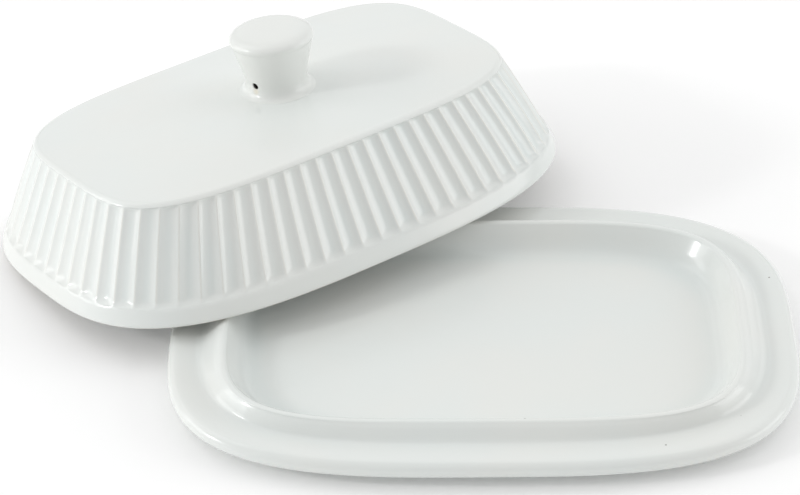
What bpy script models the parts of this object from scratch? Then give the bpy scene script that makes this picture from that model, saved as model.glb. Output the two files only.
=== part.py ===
"""Butter dish: a glazed oblong tray, and a fluted lid with a hollow knob.

The tray stands at the origin, its long side along X.  The lid leans on the
tray's back left corner, one rim on the table and the other on the tray's ridge.
Lengths are in metres and +Z is up.
"""
import math

import bmesh
import bpy
from mathutils import Euler, Vector
from mathutils.bvhtree import BVHTree

# ------------------------------------------------------------ tray dimensions
TRAY_LENGTH = 0.1973
TRAY_WIDTH = 0.1413
TRAY_POWER = 3.24           # how square the rim's plan is: 2 is an ellipse
BEAD_RADIUS = 0.0028        # rounded edge all round the tray
RIM_HEIGHT = 0.0090         # top of that edge above the table
FLANGE_DEPTH = 0.0006       # the flange falls this far from the edge to the ridge
RIDGE_FOOT_END = 0.0104     # from the tray's edge in to the ridge, at the ends
RIDGE_FOOT_SIDE = 0.0118    # the same along the sides
RIDGE_RUN_END = 0.0072      # from the ridge's foot in to its crest, at the ends
RIDGE_RUN_SIDE = 0.0052     # the same along the sides
RIDGE_RISE = 0.0050         # height of the crest above the ridge's foot
RIDGE_POWER = 4.1
CREST_RADIUS = 0.0019
WELL_SLOPE = 0.0095         # from the crest in to the flat floor
WELL_PROFILE = ((0.35, 0.52), (0.62, 0.84), (0.82, 0.96), (1.0, 1.0))  # shares of run and fall
WELL_THICKNESS = 0.0050     # of the floor, so also its height above the table
FLANGE_SETTLE = 0.0014      # flat left round the ridge's foot
RIDGE_PROFILE = ((0.18, 0.10), (0.45, 0.50))    # shares of its run and its rise
FOOT_INSET = 0.0190         # from the tray's edge in to the flat foot
FOOT_LIFT = 0.0010          # height of the bevel round the foot

# ------------------------------------------------------------- lid dimensions
LID_CLEARANCE = 0.00115     # between the ridge's foot and the closed lid's rim
LID_RIM_WIDTH = 0.0050      # of the flat edge that the lid stands on
LID_POWER = 3.03            # how square the rim's plan is
LID_HEIGHT = 0.0363         # from the rim to the edge of the top
LID_WALL = 0.0040
TOP_LENGTH = 0.1549
TOP_WIDTH = 0.0918
TOP_POWER = 4.05
TOP_EDGE_RADIUS = 0.0014
TOP_CROWN = 0.0026          # the top rises this far to the knob's seat
BAND_HEIGHT = 0.0062        # plain band round the foot of the flutes
BAND_STEP = 0.0004          # the band stands out this far past the arrises
BAND_ROUND = 0.0015         # rounding of the lid's lowest outer edge
FLUTE_COUNT = 72
FLUTE_DEPTH = 0.0012
FLUTE_STARTS = ((0.0004, 0.15), (0.0014, 0.7), (0.0034, 1.0))   # above the band, share of depth
FLUTE_ENDS = ((0.0080, 0.8), (0.0040, 0.4))                     # below the top, the same
CROWN_SHARES = (0.3, 0.65, 1.0)                 # from the top's edge to the seat
CEILING_SHARES = (1.0, 0.5, 0.1)                # the same under the top, from the middle

# ------------------------------------------------------------ knob dimensions
KNOB_OFFSET = 0.0037        # along the lid, from its middle
KNOB_BASE_RADIUS = 0.0103
KNOB_TOP_RADIUS = 0.0141
KNOB_HEIGHT = 0.0212
KNOB_BEAD = 0.0020          # radius of the edge round the knob's top
KNOB_NECK = 0.0004          # depth of the groove under that edge
KNOB_FILLET = 0.0016        # flare where the knob meets the lid
KNOB_WALL = 0.0036
VENT_RADIUS = 0.00105       # lets air out of the hollow knob
VENT_HEIGHT = 0.0046
VENT_TURN = math.radians(-164.0)
SEAT_MARGIN = 0.0006        # flat round the knob's foot on the crowned top
JOINT_GAP = 0.0003          # slip joint between the knob and the lid

# ------------------------------------------------------- how the lid is leaned
LEAN_TURN = math.radians(35.8)
LEAN_TIP = math.radians(-1.0)
LEAN_LEFT = 0.0321          # lid's middle, in from the tray's left end
LEAN_BACK = 0.0092          # lid's middle, out past the tray's back
LEAN_GAP = 0.0003           # between the lid's rim and the tray
STEEPEST_LEAN = math.radians(20.0)

# ------------------------------------------------------------------ fineness
TRAY_POINTS = 112
POINTS_PER_FLUTE = 3
TURN_STEPS = 40
VENT_POINTS = 14
BEAD_STEPS = 7
CREST_STEPS = 5
ROUND_STEPS = 3
LEAN_HALVINGS = 20
OUTLINE_SAMPLES = 1440


def clear_scene():
    for scene_object in list(bpy.data.objects):
        bpy.data.objects.remove(scene_object, do_unlink=True)


def new_collection(name):
    collection = bpy.data.collections.new(name)
    bpy.context.scene.collection.children.link(collection)
    return collection


def glaze(name, color, roughness):
    """A plain glossy material for one piece."""
    material = bpy.data.materials.new(name)
    material.use_nodes = True
    shader = material.node_tree.nodes["Principled BSDF"]
    shader.inputs["Base Color"].default_value = (*color, 1.0)
    shader.inputs["Roughness"].default_value = roughness
    shader.inputs["Metallic"].default_value = 0.0
    return material


# ------------------------------------------------------------------- outlines
def superellipse(half_length, half_width, power, turn):
    cosine = math.cos(turn)
    sine = math.sin(turn)
    reach = abs(cosine / half_length) ** power + abs(sine / half_width) ** power
    radius = reach ** (-1.0 / power)
    return Vector((radius * cosine, radius * sine, 0.0))


def outline(half_length, half_width, power, count):
    """Points spaced evenly along a superellipse, starting at +X."""
    samples = []
    for step in range(OUTLINE_SAMPLES + 1):
        turn = 2.0 * math.pi * step / OUTLINE_SAMPLES
        samples.append(superellipse(half_length, half_width, power, turn))
    travelled = [0.0]
    for before, after in zip(samples, samples[1:]):
        travelled.append(travelled[-1] + (after - before).length)
    points = []
    step = 0
    for index in range(count):
        wanted = travelled[-1] * index / count
        while travelled[step + 1] < wanted:
            step += 1
        share = (wanted - travelled[step]) / (travelled[step + 1] - travelled[step])
        points.append(samples[step].lerp(samples[step + 1], share))
    return points


def fluted(points, depth):
    """Push the points between arrises inwards, into shallow scallops."""
    moved = []
    count = len(points)
    for index, point in enumerate(points):
        along = points[(index + 1) % count] - points[index - 1]
        inward = Vector((-along.y, along.x, 0.0)).normalized()
        across = 2.0 * (index % POINTS_PER_FLUTE) / POINTS_PER_FLUTE - 1.0
        moved.append(point + inward * depth * (1.0 - across * across))
    return moved


def at_height(points, height):
    return [Vector((point.x, point.y, height)) for point in points]


# --------------------------------------------------------------------- lofting
def loft(name, sections):
    """Wrap a grid round a row of sections of one length, and close both ends."""
    count = len(sections[0])
    editor = bmesh.new()
    grid = bmesh.ops.create_grid(editor, x_segments=count, y_segments=len(sections) - 1, size=1.0)
    corners = grid["verts"]
    seam = {}
    ends = []
    for row, points in enumerate(sections):
        loop = corners[row * (count + 1):(row + 1) * (count + 1)]
        for corner, point in zip(loop, points):
            corner.co = point
        seam[loop[count]] = loop[0]
        ends.append(loop[:count])
    bmesh.ops.weld_verts(editor, targetmap=seam)
    for loop in (ends[0], ends[-1]):
        bmesh.ops.contextual_create(editor, geom=loop)
    bmesh.ops.recalc_face_normals(editor, faces=editor.faces)
    mesh = bpy.data.meshes.new(name)
    editor.to_mesh(mesh)
    editor.free()
    return mesh


def add_piece(mesh, material, collection, sharp_angle):
    piece = bpy.data.objects.new(mesh.name, mesh)
    collection.objects.link(piece)
    mesh.materials.append(material)
    mesh.shade_smooth()
    mesh.set_sharp_from_angle(angle=math.radians(sharp_angle))
    return piece


def arc(center_inset, center_height, radius, start, end, steps):
    """Points (inset, height) round part of a circle, in degrees from outwards."""
    points = []
    for step in range(steps + 1):
        turn = math.radians(start + (end - start) * step / steps)
        points.append((center_inset - radius * math.cos(turn), center_height + radius * math.sin(turn)))
    return points


# ------------------------------------------------------------------------ tray
def ridge_foot():
    """Half length and half width of the ridge where it rises from the flange."""
    return (TRAY_LENGTH / 2 - RIDGE_FOOT_END, TRAY_WIDTH / 2 - RIDGE_FOOT_SIDE)


def tray_section(inset, height):
    """A section set in from the tray's edge by the same amount all round."""
    points = outline(TRAY_LENGTH / 2 - inset, TRAY_WIDTH / 2 - inset, TRAY_POWER, TRAY_POINTS)
    return at_height(points, height)


def ridge_section(share, inset, height):
    """A section from the ridge's foot (share 0) to its crest (share 1) and in from there."""
    half_length, half_width = ridge_foot()
    half_length -= RIDGE_RUN_END * share + inset
    half_width -= RIDGE_RUN_SIDE * share + inset
    power = TRAY_POWER + (RIDGE_POWER - TRAY_POWER) * share
    return at_height(outline(half_length, half_width, power, TRAY_POINTS), height)


def crest_height():
    return RIM_HEIGHT - FLANGE_DEPTH + RIDGE_RISE


def make_tray(collection, material):
    sections = [
        tray_section(FOOT_INSET + FOOT_LIFT, 0.0),
        tray_section(FOOT_INSET, FOOT_LIFT),
    ]
    bead_middle = RIM_HEIGHT - BEAD_RADIUS
    for inset, height in arc(BEAD_RADIUS, bead_middle, BEAD_RADIUS, -80.0, 90.0, BEAD_STEPS):
        sections.append(tray_section(inset, height))
    flange_bottom = RIM_HEIGHT - FLANGE_DEPTH
    sections.append(ridge_section(0.0, -FLANGE_SETTLE, flange_bottom))
    crest_middle = crest_height() - CREST_RADIUS
    for run, rise in RIDGE_PROFILE:
        sections.append(ridge_section(run, 0.0, flange_bottom + RIDGE_RISE * rise))
    for inset, height in arc(CREST_RADIUS, crest_middle, CREST_RADIUS, 20.0, 140.0, CREST_STEPS):
        sections.append(ridge_section(1.0, inset - CREST_RADIUS, height))
    for run, fall in WELL_PROFILE:
        height = crest_middle - (crest_middle - WELL_THICKNESS) * fall
        sections.append(ridge_section(1.0, WELL_SLOPE * run, height))
    mesh = loft("tray", sections)
    return add_piece(mesh, material, collection, 50.0)


# ------------------------------------------------------------------------- lid
def lid_rim_inner():
    """The closed lid's rim fits round the ridge's foot."""
    half_length, half_width = ridge_foot()
    return (half_length + LID_CLEARANCE, half_width + LID_CLEARANCE)


def lid_outline(height, inset):
    """The lid's outer face at a height, set in by an amount."""
    half_length, half_width = lid_rim_inner()
    foot_length = half_length + LID_RIM_WIDTH
    foot_width = half_width + LID_RIM_WIDTH
    share = height / LID_HEIGHT
    half_length = foot_length + (TOP_LENGTH / 2 - foot_length) * share - inset
    half_width = foot_width + (TOP_WIDTH / 2 - foot_width) * share - inset
    power = LID_POWER + (TOP_POWER - LID_POWER) * share
    return outline(half_length, half_width, power, FLUTE_COUNT * POINTS_PER_FLUTE)


def lid_section(height, inset):
    return at_height(lid_outline(height, inset), height)


def flute_section(height, depth):
    points = lid_outline(height, BAND_STEP)
    return at_height(fluted(points, depth), height)


def seat_radius():
    return KNOB_BASE_RADIUS + KNOB_FILLET + SEAT_MARGIN


def crowned_section(share, drop):
    """A loop on the crowned top: share 0 is its edge and 1 the knob's seat."""
    edge = lid_outline(LID_HEIGHT, TOP_EDGE_RADIUS + BAND_STEP)
    points = []
    for point in edge:
        turn = math.atan2(point.y, point.x)
        seat = Vector((seat_radius() * math.cos(turn), seat_radius() * math.sin(turn), 0.0))
        seat.x += KNOB_OFFSET
        spot = point.lerp(seat, share)
        height = LID_HEIGHT + TOP_CROWN * math.sin(share * math.pi / 2) - drop
        points.append(Vector((spot.x, spot.y, height)))
    return points


def make_lid(collection, material):
    sections = []
    for inset, height in arc(BAND_ROUND, BAND_ROUND, BAND_ROUND, -90.0, 0.0, ROUND_STEPS):
        sections.append(lid_section(height, inset))
    sections.append(lid_section(BAND_HEIGHT, 0.0))
    for above, share in FLUTE_STARTS:
        sections.append(flute_section(BAND_HEIGHT + above, FLUTE_DEPTH * share))
    for below, share in FLUTE_ENDS:
        sections.append(flute_section(LID_HEIGHT - below, FLUTE_DEPTH * share))
    edge_middle = LID_HEIGHT - TOP_EDGE_RADIUS
    for inset, height in arc(TOP_EDGE_RADIUS, edge_middle, TOP_EDGE_RADIUS, 10.0, 90.0, ROUND_STEPS):
        sections.append(lid_section(height, inset + BAND_STEP))
    for share in CROWN_SHARES:
        sections.append(crowned_section(share, 0.0))
    inner = [crowned_section(share, LID_WALL) for share in CEILING_SHARES]
    inner_top = LID_HEIGHT - 2.0 * LID_WALL
    wall_inset = LID_WALL + BAND_STEP
    inner.append(lid_section(inner_top, wall_inset + FLUTE_DEPTH))
    inner.append(lid_section(BAND_HEIGHT, wall_inset + FLUTE_DEPTH))
    inner.append(lid_section(BAND_STEP, LID_RIM_WIDTH))
    inner.append(lid_section(0.0, LID_RIM_WIDTH))
    mesh = loft("lid_shell", inner + sections)
    return add_piece(mesh, material, collection, 35.0)


# ------------------------------------------------------------------------ knob
def knob_profile():
    """The knob's half section, down its outside and back up its hollow."""
    profile = [(0.0, KNOB_HEIGHT)]
    bead_middle = KNOB_HEIGHT - KNOB_BEAD
    for step in range(5):
        turn = math.radians(90.0 - 30.0 * step)
        radius = KNOB_TOP_RADIUS - KNOB_BEAD + KNOB_BEAD * math.cos(turn)
        profile.append((radius, bead_middle + KNOB_BEAD * math.sin(turn)))
    neck_height = bead_middle - KNOB_BEAD - KNOB_NECK
    profile.append((KNOB_TOP_RADIUS - KNOB_BEAD / 2 - KNOB_NECK, neck_height))
    profile.append((KNOB_BASE_RADIUS, KNOB_FILLET * 2.0))
    for step in range(1, 4):
        turn = math.radians(30.0 * step)
        radius = KNOB_BASE_RADIUS + KNOB_FILLET * (1.0 - math.cos(turn))
        profile.append((radius, KNOB_FILLET * (1.0 - math.sin(turn)) + JOINT_GAP))
    hollow = KNOB_BASE_RADIUS - KNOB_WALL
    profile.append((hollow, JOINT_GAP))
    profile.append((hollow, KNOB_HEIGHT - 2.0 * KNOB_WALL))
    profile.append((0.0, KNOB_HEIGHT - KNOB_WALL))
    return profile


def make_knob(collection, cutters, material):
    editor = bmesh.new()
    corners = [editor.verts.new((radius, 0.0, height)) for radius, height in knob_profile()]
    for before, after in zip(corners, corners[1:]):
        editor.edges.new((before, after))
    mesh = bpy.data.meshes.new("lid_knob")
    editor.to_mesh(mesh)
    editor.free()
    knob = add_piece(mesh, material, collection, 35.0)
    turned = knob.modifiers.new("turned", "SCREW")
    turned.steps = TURN_STEPS
    turned.render_steps = TURN_STEPS
    turned.use_merge_vertices = True
    turned.merge_threshold = 0.00001
    turned.use_smooth_shade = True

    bpy.ops.mesh.primitive_cylinder_add(vertices=VENT_POINTS, radius=VENT_RADIUS, depth=KNOB_BASE_RADIUS)
    vent = bpy.context.object
    vent.name = "vent_cutter"
    for holder in list(vent.users_collection):
        holder.objects.unlink(vent)
    cutters.objects.link(vent)
    out = Vector((math.cos(VENT_TURN), math.sin(VENT_TURN), 0.0))
    vent.location = out * KNOB_BASE_RADIUS + Vector((0.0, 0.0, VENT_HEIGHT))
    vent.rotation_euler = (0.0, math.radians(90.0), VENT_TURN)
    vent.hide_render = True
    vent.display_type = "WIRE"
    vent.parent = knob
    bored = knob.modifiers.new("vent", "BOOLEAN")
    bored.operation = "DIFFERENCE"
    bored.solver = "EXACT"
    bored.object = vent
    return knob


# --------------------------------------------------------------------- leaning
def shape_tree(mesh, turned, spot):
    corners = [turned @ vertex.co + spot for vertex in mesh.vertices]
    faces = [tuple(face.vertices) for face in mesh.polygons]
    return BVHTree.FromPolygons(corners, faces)


def leaned(mesh, roll):
    """Turn the lid, then set its lowest point on the table."""
    turned = Euler((roll, LEAN_TIP, LEAN_TURN), "XYZ").to_matrix()
    lowest = min((turned @ vertex.co).z for vertex in mesh.vertices)
    across = -TRAY_LENGTH / 2 + LEAN_LEFT
    back = TRAY_WIDTH / 2 + LEAN_BACK
    return turned, Vector((across, back, -lowest))


def find_roll(tray_mesh, lid_mesh):
    """The least roll, to one side, that lifts the lid's near rim onto the tray."""
    tray_tree = shape_tree(tray_mesh, Euler().to_matrix(), Vector())
    blocked = 0.0
    clear = -STEEPEST_LEAN
    for _ in range(LEAN_HALVINGS):
        roll = (blocked + clear) / 2
        turned, spot = leaned(lid_mesh, roll)
        spot.z -= LEAN_GAP
        if shape_tree(lid_mesh, turned, spot).overlap(tray_tree):
            blocked = roll
        else:
            clear = roll
    return clear


def main():
    clear_scene()
    pieces = new_collection("butter_dish")
    cutters = new_collection("butter_dish_cutters")
    tray = make_tray(pieces, glaze("tray_glaze", (0.80, 0.82, 0.80), 0.16))
    lid = make_lid(pieces, glaze("lid_glaze", (0.80, 0.82, 0.80), 0.16))
    knob = make_knob(pieces, cutters, glaze("knob_glaze", (0.79, 0.81, 0.79), 0.16))
    knob.location = (KNOB_OFFSET, 0.0, LID_HEIGHT + TOP_CROWN)

    roll = find_roll(tray.data, lid.data)
    _, spot = leaned(lid.data, roll)
    lean = bpy.data.objects.new("lid_lean", None)
    pieces.objects.link(lean)
    lean.location = spot
    lean.rotation_euler = (roll, LEAN_TIP, LEAN_TURN)
    lid.parent = lean
    knob.parent = lean


main()
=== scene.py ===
"""Butter dish in white glazed stoneware: oblong tray, fluted lid and hollow knob.

Lengths are in metres, +Z is up, and the tray stands at the origin.  The lid and
its knob are shaped upright first and are then leaned on the tray.
"""
import math

import bmesh
import bpy
from mathutils import Euler, Matrix, Vector, noise


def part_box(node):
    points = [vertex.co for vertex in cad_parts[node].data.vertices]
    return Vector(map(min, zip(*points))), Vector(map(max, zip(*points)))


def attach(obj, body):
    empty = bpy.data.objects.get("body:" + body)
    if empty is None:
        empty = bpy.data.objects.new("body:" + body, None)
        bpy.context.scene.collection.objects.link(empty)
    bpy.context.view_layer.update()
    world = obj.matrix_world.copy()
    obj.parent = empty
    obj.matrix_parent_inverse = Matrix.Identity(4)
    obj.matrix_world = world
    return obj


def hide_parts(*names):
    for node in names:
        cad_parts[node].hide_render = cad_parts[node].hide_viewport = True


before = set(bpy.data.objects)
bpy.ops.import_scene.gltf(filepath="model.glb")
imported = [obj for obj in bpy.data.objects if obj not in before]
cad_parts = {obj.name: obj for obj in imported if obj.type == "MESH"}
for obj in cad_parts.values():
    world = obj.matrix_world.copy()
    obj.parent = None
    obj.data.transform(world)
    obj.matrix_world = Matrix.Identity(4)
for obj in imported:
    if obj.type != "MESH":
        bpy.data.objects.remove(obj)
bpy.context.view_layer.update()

# ------------------------------------------------------------------------ tray
TRAY_POWER = 3.24           # how square the rim's plan is: 2 is an ellipse
TRAY_POINTS = 512
BEAD_RADIUS = 0.0028        # rounded edge all round the tray
RIM_HEIGHT = 0.0090
FLANGE_DEPTH = 0.0006       # the flange falls this far from the edge to the ridge
RIDGE_FOOT_END = 0.0104     # from the tray's edge in to the ridge, at the ends
RIDGE_FOOT_SIDE = 0.0118
RIDGE_RUN_END = 0.0072      # from the ridge's foot in to its crest
RIDGE_RUN_SIDE = 0.0052
RIDGE_RISE = 0.0050
RIDGE_POWER = 4.1
CREST_RADIUS = 0.0019
FOOT_SOFTENING = 0.24       # the ridge starts to rise this share of its run early
WELL_SLOPE = 0.0095         # from the crest in to the flat floor
WELL_THICKNESS = 0.0050
FOOT_INSET = 0.0190
FOOT_LIFT = 0.0010
# shares of the ridge's run and of its rise, from its foot up towards its crest
RIDGE_PROFILE = [
    (-FOOT_SOFTENING, 0.0), (0.0, 0.055), (0.19, 0.20), (0.41, 0.47), (0.60, 0.72), (0.76, 0.89),
]
RIDGE_FILL = 0.98           # share of the rise that the profile above is stretched to
CREST_TURN = (62.0, 128.0)  # the round crest runs between these angles from outwards
# shares of the well's slope and of its fall, from the crest down to the floor
WELL_PROFILE = [(0.13, 0.02), (0.26, 0.28), (0.42, 0.60), (0.60, 0.85), (0.80, 0.965), (1.0, 1.0)]
PROFILE_STEPS = 5           # rows of points between two places on a profile
FLANGE_ROWS = 15
EDGE_DROP = 0.00005         # from the top of the rim to where the flange starts

# ------------------------------------------------------------------------- lid
LID_CLEARANCE = 0.00115
LID_RIM_WIDTH = 0.0050
LID_POWER = 3.03
LID_HEIGHT = 0.0363
LID_WALL = 0.0040
TOP_LENGTH = 0.1549
TOP_WIDTH = 0.0918
TOP_POWER = 4.05
TOP_EDGE_RADIUS = 0.0013
TOP_CROWN = 0.0026
BAND_HEIGHT = 0.0062
BAND_STEP = 0.0004
BAND_ROUND = 0.0015
FLUTE_COUNT = 72
FLUTE_POINTS = 12
FLUTE_DEPTH = 0.00135
FLUTE_RISE = 0.0030         # the flutes run out into the band over this height
FLUTE_FALL = 0.0016         # and into the top edge over this one
FLUTE_UNEVENNESS = 0.08     # some flutes were pressed deeper than others
INNER_ROUND = 0.0040        # inside corner between the lid's wall and its ceiling
CEILING_SHARES = (1.0, 0.8, 0.6, 0.4, 0.25, 0.12, 0.04)
CROWN_SHARES = (0.0, 0.03, 0.08, 0.16, 0.28, 0.42, 0.58, 0.74, 0.88, 1.0)

# ------------------------------------------------------------------------ knob
KNOB_OFFSET = 0.0037
KNOB_BASE_RADIUS = 0.0103
KNOB_TOP_RADIUS = 0.0141
KNOB_HEIGHT = 0.0212
KNOB_BEAD = 0.0020
KNOB_FILLET = 0.0019
KNOB_WALL = 0.0036
KNOB_STEPS = 192
VENT_RADIUS = 0.00105
VENT_HEIGHT = 0.0046
VENT_TURN = math.radians(-164.0)
STAIN_DROP = 0.0019         # the stain lies this far under the vent
STAIN_REACH = 0.0020

# -------------------------------------------------------------- leaning the lid
LEAN = (math.radians(-6.9074), math.radians(-1.0), math.radians(35.8))

OUTLINE_SAMPLES = 2880
HAND = 0.00012              # how far a thrown surface wanders from true

TRAY_LOW, TRAY_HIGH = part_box("tray")
LID_LOW, LID_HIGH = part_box("lid_shell")
HALF_LENGTH = round(TRAY_HIGH.x, 5)
HALF_WIDTH = round(TRAY_HIGH.y, 5)


# ------------------------------------------------------------------- outlines
def superellipse(half_length, half_width, power, turn):
    cosine = math.cos(turn)
    sine = math.sin(turn)
    reach = abs(cosine / half_length) ** power + abs(sine / half_width) ** power
    return Vector((cosine, sine, 0.0)) * reach ** (-1.0 / power)


def outline(half_length, half_width, power, count):
    """Points spaced evenly along a superellipse, starting at +X."""
    samples = []
    for step in range(OUTLINE_SAMPLES + 1):
        turn = 2.0 * math.pi * step / OUTLINE_SAMPLES
        samples.append(superellipse(half_length, half_width, power, turn))
    travelled = [0.0]
    for before, after in zip(samples, samples[1:]):
        travelled.append(travelled[-1] + (after - before).length)
    points = []
    step = 0
    for index in range(count):
        wanted = travelled[-1] * index / count
        while travelled[step + 1] < wanted:
            step += 1
        share = (wanted - travelled[step]) / (travelled[step + 1] - travelled[step])
        points.append(samples[step].lerp(samples[step + 1], share))
    return points


def at_height(points, height):
    return [Vector((point.x, point.y, height)) for point in points]


def smooth_step(value):
    value = min(max(value, 0.0), 1.0)
    return value * value * (3.0 - 2.0 * value)


def scooped(value):
    """The quarter circle that a round tool leaves where it enters."""
    value = min(max(value, 0.0), 1.0)
    return math.sqrt(1.0 - (1.0 - value) ** 2)


def arc(inset, height, radius, start, end, steps):
    """Points (inset, height) round part of a circle, in degrees from outwards."""
    points = []
    for step in range(steps + 1):
        turn = math.radians(start + (end - start) * step / steps)
        points.append((inset - radius * math.cos(turn), height + radius * math.sin(turn)))
    return points


def curve_through(points, steps):
    """Evenly stepped points on a smooth curve through the given (run, height) pairs."""
    made = []
    last = len(points) - 1
    for index in range(last):
        before = Vector(points[max(index - 1, 0)])
        start = Vector(points[index])
        end = Vector(points[index + 1])
        after = Vector(points[min(index + 2, last)])
        for step in range(steps):
            t = step / steps
            a = 2.0 * start
            b = (end - before) * t
            c = (2.0 * before - 5.0 * start + 4.0 * end - after) * t * t
            d = (3.0 * start - before - 3.0 * end + after) * t ** 3
            made.append(tuple((a + b + c + d) / 2.0))
    made.append(tuple(points[last]))
    return made


# --------------------------------------------------------------------- lofting
def loft(name, sections, marks):
    """Wrap a grid round the sections, close both ends, and keep each row's marks.

    marks has one dict a row of point attributes, each a number or a list of them.
    """
    count = len(sections[0])
    editor = bmesh.new()
    for key in ("hollow", "bare"):
        editor.verts.layers.float.new(key)
    grid = bmesh.ops.create_grid(editor, x_segments=count, y_segments=len(sections) - 1, size=1.0)
    corners = grid["verts"]
    layers = {key: editor.verts.layers.float[key] for key in ("hollow", "bare")}
    seam = {}
    ends = []
    for row, points in enumerate(sections):
        loop = corners[row * (count + 1):(row + 1) * (count + 1)]
        for index, (corner, point) in enumerate(zip(loop, points)):
            corner.co = point
            for key, layer in layers.items():
                value = marks[row].get(key, 0.0)
                corner[layer] = value[index] if isinstance(value, list) else value
        seam[loop[count]] = loop[0]
        ends.append(loop[:count])
    bmesh.ops.weld_verts(editor, targetmap=seam)
    for loop in (ends[0], ends[-1]):
        cap = bmesh.ops.contextual_create(editor, geom=loop)["faces"]
        bmesh.ops.poke(editor, faces=cap)
    bmesh.ops.recalc_face_normals(editor, faces=editor.faces)
    mesh = bpy.data.meshes.new(name)
    editor.to_mesh(mesh)
    editor.free()
    return mesh


def wander(mesh, amount, size, seed):
    """Let the surface wander from true, as a hand-finished casting does."""
    editor = bmesh.new()
    editor.from_mesh(mesh)
    editor.normal_update()
    for corner in editor.verts:
        place = corner.co / size + Vector((seed, 0.0, 0.0))
        corner.co += corner.normal * amount * noise.noise(place)
    editor.to_mesh(mesh)
    editor.free()


def add_piece(mesh, node, body, material):
    piece = bpy.data.objects.new(mesh.name, mesh)
    bpy.context.scene.collection.objects.link(piece)
    mesh.materials.append(material)
    mesh.shade_smooth()
    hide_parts(node)
    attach(piece, body)
    return piece


# ---------------------------------------------------------------------- shaders
class Socket:
    """A shader value that takes part in sums written in Python."""

    def __init__(self, graph, link):
        self.graph = graph
        self.link = link

    def math(self, operation, *others):
        return self.graph.node("ShaderNodeMath", {"operation": operation}, [self, *others])

    def __add__(self, other):
        return self.math("ADD", other)

    def __radd__(self, other):
        return self.math("ADD", other)

    def __sub__(self, other):
        return self.math("SUBTRACT", other)

    def __rsub__(self, other):
        return self.graph.node("ShaderNodeMath", {"operation": "SUBTRACT"}, [other, self])

    def __mul__(self, other):
        return self.math("MULTIPLY", other)

    def __truediv__(self, other):
        return self.math("DIVIDE", other)


class Graph:
    """One material's nodes."""

    def __init__(self, name):
        self.material = bpy.data.materials.new(name)
        self.material.use_nodes = True
        self.nodes = self.material.node_tree.nodes
        self.links = self.material.node_tree.links
        self.shader = self.nodes["Principled BSDF"]

    def feed(self, target, value):
        if isinstance(value, Socket):
            self.links.new(value.link, target)
        else:
            target.default_value = value

    def node(self, kind, settings, values, output=0):
        made = self.nodes.new(kind)
        for key, value in settings.items():
            setattr(made, key, value)
        named = values.items() if isinstance(values, dict) else enumerate(values)
        for key, value in named:
            self.feed(made.inputs[key], value)
        return Socket(self, made.outputs[output])

    def ramp(self, value, low, high):
        """0 under low, 1 over high and smooth between."""
        settings = {"interpolation_type": "SMOOTHSTEP", "clamp": True}
        values = {"Value": value, "From Min": low, "From Max": high}
        return self.node("ShaderNodeMapRange", settings, values)

    def mix(self, share, first, second):
        settings = {"data_type": "RGBA", "clamp_factor": True}
        return self.node("ShaderNodeMix", settings, {0: share, 6: first, 7: second}, output=2)

    def noise(self, place, size, detail, roughness=0.5):
        values = {"Vector": place, "Scale": 1.0 / size, "Detail": detail, "Roughness": roughness}
        return self.node("ShaderNodeTexNoise", {"noise_dimensions": "3D"}, values)

    def attribute(self, name):
        return self.node("ShaderNodeAttribute", {"attribute_name": name}, {}, output="Fac")

    def place(self):
        return self.node("ShaderNodeTexCoord", {}, {}, output="Object")


GLAZE = (0.775, 0.805, 0.785, 1.0)          # thick, cool and very slightly green
THIN_GLAZE = (0.815, 0.805, 0.765, 1.0)     # over arrises, where the body warms it
POOLED_GLAZE = (0.735, 0.785, 0.770, 1.0)   # in hollows
BISQUE = (0.690, 0.655, 0.600, 1.0)
SPECK = (0.100, 0.075, 0.055, 1.0)
GLAZE_WAVES = 0.00010       # depth of the slow waves in the glaze
SPECK_SPACING = 0.034
STAIN = (0.800, 0.700, 0.480, 1.0)
# painted shade: near black for the knob's hollow and vent bore, which are glazed white and only lie in
# shade
PAINTED_HOLLOW_SHADE = (0.012, 0.010, 0.008, 1.0)
TRAY_SPECKS = ((0.0929, 0.0266), (0.0778, -0.0458), (0.0542, -0.0603))     # iron spots, as (x, y)
SPECK_RADIUS = 0.00030


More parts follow.
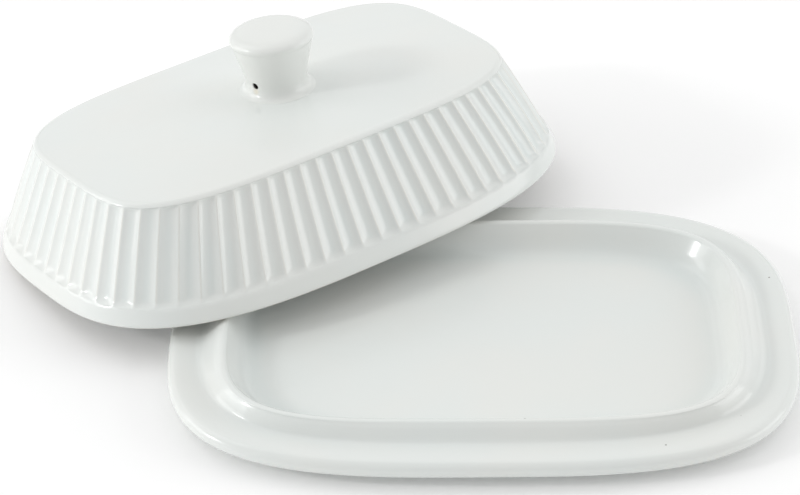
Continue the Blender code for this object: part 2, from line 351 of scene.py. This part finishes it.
def glaze(name, offset, wave_depth, spots=()):
    """Clear glossy glaze on white clay, with pooling, specks and bare clay feet.

    offset shifts the patterns, so that no two pieces match, and spots are places on
    the flange for specks of their own.
    """
    graph = Graph(name)
    place = graph.place()
    shifted = graph.node("ShaderNodeVectorMath", {"operation": "ADD"}, [place, (offset, offset, 0.0)])

    clouds = graph.noise(shifted, 0.045, 2.0)
    mottle = graph.noise(shifted, 0.006, 3.0, 0.55)
    pebble = graph.noise(shifted, 0.0022, 2.0)

    hollow = graph.attribute("hollow")
    pooled = graph.ramp(hollow + (mottle - 0.5) * 0.25, 0.35, 1.0)
    thin = graph.ramp(hollow * -1.0 + (mottle - 0.5) * 0.30, 0.30, 1.0)
    color = graph.mix(pooled * 0.9, GLAZE, POOLED_GLAZE)
    color = graph.mix(thin * 0.8, color, THIN_GLAZE)
    cloudy = graph.ramp(clouds, 0.35, 0.70)
    color = graph.mix(cloudy * 0.35, color, THIN_GLAZE)

    cells = {"Vector": shifted, "Scale": 1.0 / SPECK_SPACING, "Randomness": 1.0}
    speck_way = graph.node("ShaderNodeTexVoronoi", {"feature": "F1"}, cells, output="Distance")
    speck_size = graph.noise(shifted, 0.020, 0.0)
    reach = speck_size * (SPECK_RADIUS * 2.0 / SPECK_SPACING)
    speck = (1.0 - graph.ramp(speck_way / reach, 0.55, 1.15)) * graph.ramp(speck_size, 0.50, 0.56)
    for spot in spots:
        values = [place, (*spot, RIM_HEIGHT - FLANGE_DEPTH * 0.5)]
        way = graph.node("ShaderNodeVectorMath", {"operation": "DISTANCE"}, values, output="Value")
        speck = speck.math("MAXIMUM", 1.0 - graph.ramp(way, SPECK_RADIUS * 0.6, SPECK_RADIUS * 1.5))
    color = graph.mix(speck * 0.75, color, SPECK)

    stain = graph.attribute("stain")
    color = graph.mix(graph.ramp(stain, 0.1, 0.9) * 0.4, color, STAIN)
    # painted shade: the knob's hollow and vent bore are coloured near black so that the vent reads dark
    inside = graph.attribute("inside")
    color = graph.mix(graph.ramp(inside, 0.0, 0.15), color, PAINTED_HOLLOW_SHADE)

    bare = graph.attribute("bare")
    bare = graph.ramp(bare + (mottle - 0.5) * 0.5, 0.45, 0.60)
    color = graph.mix(bare, color, BISQUE)
    rough = 0.13 + mottle * 0.06 + cloudy * 0.03 + bare * 0.55

    waves = graph.noise(shifted, 0.011, 1.0)
    height = waves * wave_depth + pebble * (wave_depth * 0.05) + bare * pebble * 0.00006
    bump = graph.node("ShaderNodeBump", {}, {"Strength": 1.0, "Distance": 1.0, "Height": height})

    graph.feed(graph.shader.inputs["Base Color"], color)
    graph.feed(graph.shader.inputs["Roughness"], rough)
    graph.feed(graph.shader.inputs["Normal"], bump)
    graph.shader.inputs["IOR"].default_value = 1.5
    return graph.material


# ------------------------------------------------------------------------ tray
def tray_section(inset, height):
    points = outline(HALF_LENGTH - inset, HALF_WIDTH - inset, TRAY_POWER, TRAY_POINTS)
    return at_height(points, height)


def ridge_section(share, inset, height):
    """From the ridge's foot (share 0) to its crest (share 1) and in from there."""
    half_length = HALF_LENGTH - RIDGE_FOOT_END - RIDGE_RUN_END * share - inset
    half_width = HALF_WIDTH - RIDGE_FOOT_SIDE - RIDGE_RUN_SIDE * share - inset
    power = TRAY_POWER + (RIDGE_POWER - TRAY_POWER) * share
    return at_height(outline(half_length, half_width, power, TRAY_POINTS), height)


def make_tray():
    sections = []
    marks = []

    def add(section, hollow=0.0, bare=0.0):
        sections.append(section)
        marks.append({"hollow": hollow, "bare": bare})

    add(tray_section(FOOT_INSET + FOOT_LIFT, 0.0), bare=1.0)
    add(tray_section(FOOT_INSET + FOOT_LIFT * 0.3, FOOT_LIFT * 0.15), bare=1.0)
    add(tray_section(FOOT_INSET, FOOT_LIFT), bare=0.2)
    bead_middle = RIM_HEIGHT - BEAD_RADIUS
    underside = curve_through([
        (FOOT_INSET, FOOT_LIFT),
        (FOOT_INSET * 0.55, FOOT_LIFT * 2.1),
        (BEAD_RADIUS, bead_middle - BEAD_RADIUS),
    ], 6)
    for inset, height in underside[1:-1]:
        add(tray_section(inset, height))
    for inset, height in arc(BEAD_RADIUS, bead_middle, BEAD_RADIUS, -84.0, 78.0, 22):
        add(tray_section(inset, height), hollow=-0.15)
    flange_low = RIM_HEIGHT - FLANGE_DEPTH
    foot_end = RIDGE_FOOT_END - RIDGE_RUN_END * FOOT_SOFTENING
    foot_side = RIDGE_FOOT_SIDE - RIDGE_RUN_SIDE * FOOT_SOFTENING
    start = BEAD_RADIUS * 0.9
    for step in range(1, FLANGE_ROWS):
        share = step / FLANGE_ROWS
        eased = smooth_step(share * 0.92 + 0.06)
        inset_end = start + (foot_end - start) * share
        inset_side = start + (foot_side - start) * share
        points = outline(HALF_LENGTH - inset_end, HALF_WIDTH - inset_side, TRAY_POWER, TRAY_POINTS)
        fall = EDGE_DROP + (FLANGE_DEPTH - EDGE_DROP) * eased
        add(at_height(points, RIM_HEIGHT - fall), hollow=0.5 * eased)
    for share, rise in curve_through(RIDGE_PROFILE, PROFILE_STEPS):
        add(ridge_section(share, 0.0, flange_low + RIDGE_RISE * rise * RIDGE_FILL), hollow=0.6 - 0.9 * rise)
    crest_middle = flange_low + RIDGE_RISE - CREST_RADIUS
    for inset, height in arc(CREST_RADIUS, crest_middle, CREST_RADIUS, *CREST_TURN, 9):
        add(ridge_section(1.0, inset - CREST_RADIUS, height), hollow=-0.3)
    slope_top = crest_middle + CREST_RADIUS * 0.78      # where the round crest ends
    fall = slope_top - WELL_THICKNESS
    for share, drop in curve_through(WELL_PROFILE, PROFILE_STEPS)[1:]:
        add(ridge_section(1.0, WELL_SLOPE * share, slope_top - fall * drop), hollow=drop * 0.8)
    add(ridge_section(1.0, WELL_SLOPE * 1.6, WELL_THICKNESS), hollow=0.3)
    add(ridge_section(1.0, WELL_SLOPE * 2.6, WELL_THICKNESS), hollow=0.05)
    mesh = loft("dish_tray", sections, marks)
    wander(mesh, HAND, 0.055, 3.0)
    return mesh


# ------------------------------------------------------------------------- lid
def lid_outline(height, inset):
    foot_length = HALF_LENGTH - RIDGE_FOOT_END + LID_CLEARANCE + LID_RIM_WIDTH
    foot_width = HALF_WIDTH - RIDGE_FOOT_SIDE + LID_CLEARANCE + LID_RIM_WIDTH
    share = height / LID_HEIGHT
    half_length = foot_length + (TOP_LENGTH / 2 - foot_length) * share - inset
    half_width = foot_width + (TOP_WIDTH / 2 - foot_width) * share - inset
    power = LID_POWER + (TOP_POWER - LID_POWER) * share
    return outline(half_length, half_width, power, FLUTE_COUNT * FLUTE_POINTS)


def flute_shape(index):
    """How far into a flute a point is: 0 on its sharp arris and 1 in its middle."""
    across = abs(2.0 * (index % FLUTE_POINTS) / FLUTE_POINTS - 1.0)
    return 1.0 - across ** 2.0


def flute_strength(index, height):
    """Full in the middle of the wall, and none at the band and at the top."""
    count = FLUTE_COUNT * FLUTE_POINTS
    turn = 2.0 * math.pi * index / count
    rise = scooped((height - BAND_HEIGHT) / FLUTE_RISE)
    fall = scooped((LID_HEIGHT - TOP_EDGE_RADIUS - height) / FLUTE_FALL)
    chance = noise.noise(Vector((index / FLUTE_POINTS * 0.7, 0.0, 5.0)))
    uneven = 0.88 + 0.12 * math.cos(turn) + FLUTE_UNEVENNESS * chance
    return rise * fall * uneven


def fluted_section(height):
    inset = BAND_STEP * smooth_step((height - BAND_HEIGHT) / (BAND_STEP * 4.0))
    points = lid_outline(height, inset)
    count = len(points)
    moved = []
    hollow = []
    for index, point in enumerate(points):
        along = points[(index + 1) % count] - points[index - 1]
        inward = Vector((-along.y, along.x, 0.0)).normalized()
        strength = flute_strength(index, height)
        deep = flute_shape(index)
        moved.append(point + inward * FLUTE_DEPTH * deep * strength)
        hollow.append((2.0 * deep - 1.0) * min(strength, 1.0) - 0.15 * (1.0 - strength))
    return at_height(moved, height), hollow


def crowned_section(share, drop):
    """A loop on the crowned top: share 0 is its edge and 1 its middle."""
    edge = lid_outline(LID_HEIGHT, TOP_EDGE_RADIUS + BAND_STEP)
    middle = Vector((KNOB_OFFSET, 0.0, 0.0))
    points = []
    for point in edge:
        spot = point.lerp(middle, share * 0.98)
        height = LID_HEIGHT + TOP_CROWN * math.sin(min(share * 1.12, 1.0) * math.pi / 2) - drop
        points.append(Vector((spot.x, spot.y, height)))
    return points


def make_lid():
    sections = []
    marks = []

    def add(section, hollow=0.0, bare=0.0):
        sections.append(section)
        marks.append({"hollow": hollow, "bare": bare})

    for share in CEILING_SHARES:
        add(crowned_section(share, LID_WALL))
    ceiling = LID_HEIGHT - LID_WALL
    wall_inset = LID_WALL + BAND_STEP + FLUTE_DEPTH
    for inset, height in arc(wall_inset + INNER_ROUND, ceiling - INNER_ROUND, INNER_ROUND, 80.0, 0.0, 6):
        add(at_height(lid_outline(height, inset), height), hollow=0.5)
    add(at_height(lid_outline(BAND_HEIGHT, wall_inset), BAND_HEIGHT))
    add(at_height(lid_outline(BAND_STEP * 2.0, LID_RIM_WIDTH), BAND_STEP * 2.0), bare=0.3)
    add(at_height(lid_outline(0.0, LID_RIM_WIDTH - 0.0004), 0.0), bare=1.0)
    for inset, height in arc(BAND_ROUND, BAND_ROUND, BAND_ROUND, -90.0, 0.0, 8):
        low = 1.0 - height / BAND_ROUND
        add(at_height(lid_outline(height, inset), height), hollow=-0.4, bare=max(low * 1.6 - 0.6, 0.0))
    for step in range(1, 5):
        height = BAND_ROUND + (BAND_HEIGHT - BAND_ROUND) * step / 4
        add(at_height(lid_outline(height, 0.0), height), hollow=-0.1)
    rise_rows = [BAND_HEIGHT + FLUTE_RISE * (step / 12) ** 1.7 for step in range(1, 13)]
    wall_top = LID_HEIGHT - TOP_EDGE_RADIUS
    middle = wall_top - FLUTE_FALL - rise_rows[-1]
    middle_rows = [rise_rows[-1] + middle * step / 8 for step in range(1, 9)]
    fall_rows = [wall_top - FLUTE_FALL * (1.0 - step / 10) ** 1.7 for step in range(1, 11)]
    for height in rise_rows + middle_rows + fall_rows:
        section, hollow = fluted_section(height)
        add(section, hollow=hollow)
    for inset, height in arc(TOP_EDGE_RADIUS, wall_top, TOP_EDGE_RADIUS, 12.0, 84.0, 8):
        add(at_height(lid_outline(height, inset + BAND_STEP), height), hollow=-0.4)
    for share in CROWN_SHARES:
        add(crowned_section(share, 0.0))
    mesh = loft("dish_lid", sections, marks)
    wander(mesh, HAND, 0.060, 11.0)
    return mesh


# ------------------------------------------------------------------------ knob
def knob_profile():
    """Radius and height pairs from the top's middle down the outside and up the hollow."""
    top = KNOB_HEIGHT
    bead_middle = top - KNOB_BEAD
    outside = [
        (0.0, top - 0.0001),
        (KNOB_TOP_RADIUS * 0.35, top - 0.00008),
        (KNOB_TOP_RADIUS * 0.62, top - 0.00012),
        (KNOB_TOP_RADIUS * 0.80, top - 0.0004),
        (KNOB_TOP_RADIUS * 0.925, top - 0.0011),
        (KNOB_TOP_RADIUS * 0.985, bead_middle + 0.0001),
        (KNOB_TOP_RADIUS, bead_middle - 0.0006),
        (KNOB_TOP_RADIUS * 0.990, bead_middle - 0.0013),
        (KNOB_TOP_RADIUS * 0.965, bead_middle - 0.0020),
        (KNOB_TOP_RADIUS * 0.945, bead_middle - 0.0029),
        (KNOB_TOP_RADIUS * 0.915, bead_middle - 0.0046),
        (KNOB_BASE_RADIUS * 1.095, 0.0085),
        (KNOB_BASE_RADIUS * 1.015, KNOB_FILLET * 2.4),
        (KNOB_BASE_RADIUS + KNOB_FILLET * 0.07, KNOB_FILLET * 1.45),
        (KNOB_BASE_RADIUS + KNOB_FILLET * 0.26, KNOB_FILLET * 0.78),
        (KNOB_BASE_RADIUS + KNOB_FILLET * 0.60, KNOB_FILLET * 0.34),
        (KNOB_BASE_RADIUS + KNOB_FILLET * 1.05, KNOB_FILLET * 0.09),
        (KNOB_BASE_RADIUS + KNOB_FILLET * 1.50, -KNOB_FILLET * 0.06),
    ]
    hollow = KNOB_BASE_RADIUS - KNOB_WALL
    inside = [
        (KNOB_BASE_RADIUS + KNOB_FILLET * 1.4, -KNOB_FILLET * 0.12),
        (hollow, -KNOB_FILLET * 0.12),
        (hollow, top - 2.0 * KNOB_WALL),
        (hollow * 0.7, top - KNOB_WALL * 1.2),
        (0.0, top - KNOB_WALL),
    ]
    return curve_through(outside, 5) + inside


def mark_knob(mesh, vent_way):
    """Mark the inside of the hollow and the vent, where shade is painted near black, and the stain that
    runs from the vent.
    """
    inside = mesh.attributes.new("inside", "FLOAT", "POINT").data
    stain = mesh.attributes.new("stain", "FLOAT", "POINT").data
    stained = vent_way * KNOB_BASE_RADIUS + Vector((0.0, 0.0, VENT_HEIGHT - STAIN_DROP))
    for corner in mesh.vertices:
        around = Vector((corner.co.x, corner.co.y, 0.0)).length
        low = corner.co.z < KNOB_HEIGHT - KNOB_WALL * 0.98
        inside[corner.index].value = 1.0 if around < KNOB_BASE_RADIUS * 0.985 and low else 0.0
        stain[corner.index].value = max(1.0 - (corner.co - stained).length / STAIN_REACH, 0.0)


def make_knob():
    editor = bmesh.new()
    corners = [editor.verts.new((radius, 0.0, height)) for radius, height in knob_profile()]
    edges = [editor.edges.new(pair) for pair in zip(corners, corners[1:])]
    bmesh.ops.spin(
        editor, geom=corners + edges, cent=(0.0, 0.0, 0.0), axis=(0.0, 0.0, 1.0),
        angle=2.0 * math.pi, steps=KNOB_STEPS, use_merge=True,
    )
    bmesh.ops.remove_doubles(editor, verts=editor.verts, dist=0.000005)
    bmesh.ops.recalc_face_normals(editor, faces=editor.faces)
    mesh = bpy.data.meshes.new("rough_knob")
    editor.to_mesh(mesh)
    editor.free()
    knob = bpy.data.objects.new("rough_knob", mesh)
    bpy.context.scene.collection.objects.link(knob)

    out = Vector((math.cos(VENT_TURN), math.sin(VENT_TURN), 0.0))
    drill = bmesh.new()
    place = Matrix.Translation(out * KNOB_BASE_RADIUS + Vector((0.0, 0.0, VENT_HEIGHT)))
    turned = Matrix.Rotation(VENT_TURN, 4, "Z") @ Matrix.Rotation(math.radians(90.0), 4, "Y")
    bmesh.ops.create_cone(
        drill, cap_ends=True, segments=32, radius1=VENT_RADIUS, radius2=VENT_RADIUS * 1.25,
        depth=KNOB_BASE_RADIUS, matrix=place @ turned,
    )
    drill_mesh = bpy.data.meshes.new("drill")
    drill.to_mesh(drill_mesh)
    drill.free()
    cutter = bpy.data.objects.new("drill", drill_mesh)
    bpy.context.scene.collection.objects.link(cutter)
    bore = knob.modifiers.new("vent", "BOOLEAN")
    bore.operation = "DIFFERENCE"
    bore.solver = "EXACT"
    bore.object = cutter
    settled = knob.evaluated_get(bpy.context.evaluated_depsgraph_get())
    finished = bpy.data.meshes.new_from_object(settled)
    finished.name = "dish_knob"
    bpy.data.objects.remove(knob, do_unlink=True)
    bpy.data.objects.remove(cutter, do_unlink=True)
    mark_knob(finished, out)
    finished.transform(Matrix.Translation((KNOB_OFFSET, 0.0, LID_HEIGHT + TOP_CROWN)))
    return finished


# --------------------------------------------------------------------- leaning
def lean(meshes, shell):
    """Turn the lid's meshes and set them where the lid's solid lies."""
    turn = Euler(LEAN, "XYZ").to_matrix().to_4x4()
    turned = [turn @ corner.co for corner in shell.vertices]
    low = Vector(min(corner[axis] for corner in turned) for axis in range(3))
    high = Vector(max(corner[axis] for corner in turned) for axis in range(3))
    middle = (low + high) / 2.0
    wanted = (Vector(LID_LOW) + Vector(LID_HIGH)) / 2.0
    shift = Matrix.Translation(wanted - middle)
    for mesh in meshes:
        mesh.transform(shift @ turn)


# --------------------------------------------------------------- studio and view
LENS = 134.72
AIM = Vector((-0.02667, 0.05837, 0.0))
DISTANCE = 0.9989
VIEW_TURN = 0.022
VIEW_DOWN = 0.597
VIEW_ROLL = -0.020


def add_camera():
    data = bpy.data.cameras.new("camera")
    data.lens = LENS
    data.sensor_width = 36.0
    camera = bpy.data.objects.new("camera", data)
    bpy.context.scene.collection.objects.link(camera)
    turn = Matrix.Rotation(VIEW_TURN, 4, "Z")
    turn = turn @ Matrix.Rotation(math.pi / 2 - VIEW_DOWN, 4, "X")
    turn = turn @ Matrix.Rotation(VIEW_ROLL, 4, "Z")
    back = turn.to_3x3() @ Vector((0.0, 0.0, 1.0))
    camera.matrix_world = Matrix.Translation(AIM + back * DISTANCE) @ turn
    bpy.context.scene.camera = camera


def add_softbox(name, turn, height, size, power):
    turn = math.radians(turn)
    height = math.radians(height)
    flat = math.cos(height)
    way = Vector((math.sin(turn) * flat, -math.cos(turn) * flat, math.sin(height)))
    data = bpy.data.lights.new(name, "AREA")
    data.shape = "RECTANGLE"
    data.size, data.size_y = size
    data.energy = power
    light = bpy.data.objects.new(name, data)
    light.location = way * SOFTBOX_DISTANCE
    light.rotation_euler = way.to_track_quat("Z", "Y").to_euler()
    bpy.context.scene.collection.objects.link(light)


SOFTBOXES = {
    # turn from the front towards the right, height, both in degrees, then size and watts
    "left_wall": (-90.0, 20.0, (1.4, 0.9), 10.1),
    "right_wall": (90.0, 20.0, (1.4, 0.9), 9.7),
    "back_right": (135.0, 20.0, (1.4, 0.9), 2.0),
    "back": (180.0, 20.0, (1.4, 0.9), 1.5),
    "high_right": (120.0, 50.0, (1.2, 1.2), 3.4),
    "high_back": (180.0, 50.0, (1.2, 1.2), 1.5),
    "high_left": (240.0, 50.0, (1.2, 1.2), 4.2),
    "window": (-78.0, 26.0, (0.22, 0.22), 5.6),
}
SOFTBOX_DISTANCE = 2.0
AMBIENT = 0.60


def add_studio():
    world = bpy.data.worlds.new("studio")
    world.use_nodes = True
    background = world.node_tree.nodes["Background"]
    background.inputs["Color"].default_value = (1.0, 1.0, 1.0, 1.0)
    background.inputs["Strength"].default_value = AMBIENT
    bpy.context.scene.world = world
    for name, facts in SOFTBOXES.items():
        add_softbox(name, *facts)
    bpy.context.scene.view_settings.view_transform = "Standard"
    bpy.context.scene.view_settings.look = "None"

    editor = bmesh.new()
    bmesh.ops.create_grid(editor, x_segments=1, y_segments=1, size=3.0)
    mesh = bpy.data.meshes.new("floor")
    editor.to_mesh(mesh)
    editor.free()
    floor = bpy.data.objects.new("floor", mesh)
    bpy.context.scene.collection.objects.link(floor)
    paper = bpy.data.materials.new("white_paper")
    paper.use_nodes = True
    shader = paper.node_tree.nodes["Principled BSDF"]
    shader.inputs["Base Color"].default_value = (0.97, 0.97, 0.97, 1.0)
    shader.inputs["Roughness"].default_value = 0.7
    shader.inputs["Emission Color"].default_value = (1.0, 1.0, 1.0, 1.0)
    shader.inputs["Emission Strength"].default_value = 0.05
    mesh.materials.append(paper)


# ------------------------------------------------------------------------ build
tray_mesh = make_tray()
lid_mesh = make_lid()
knob_mesh = make_knob()
lean([lid_mesh, knob_mesh], lid_mesh)
tray_glaze = glaze("tray_glaze", 0.0, GLAZE_WAVES, TRAY_SPECKS)
lid_glaze = glaze("lid_glaze", 0.31, GLAZE_WAVES)
knob_glaze = glaze("knob_glaze", 0.77, GLAZE_WAVES * 0.6)
add_piece(tray_mesh, "tray", "tray", tray_glaze)
add_piece(lid_mesh, "lid_shell", "lid", lid_glaze)
add_piece(knob_mesh, "lid_knob", "lid", knob_glaze)
add_camera()
add_studio()
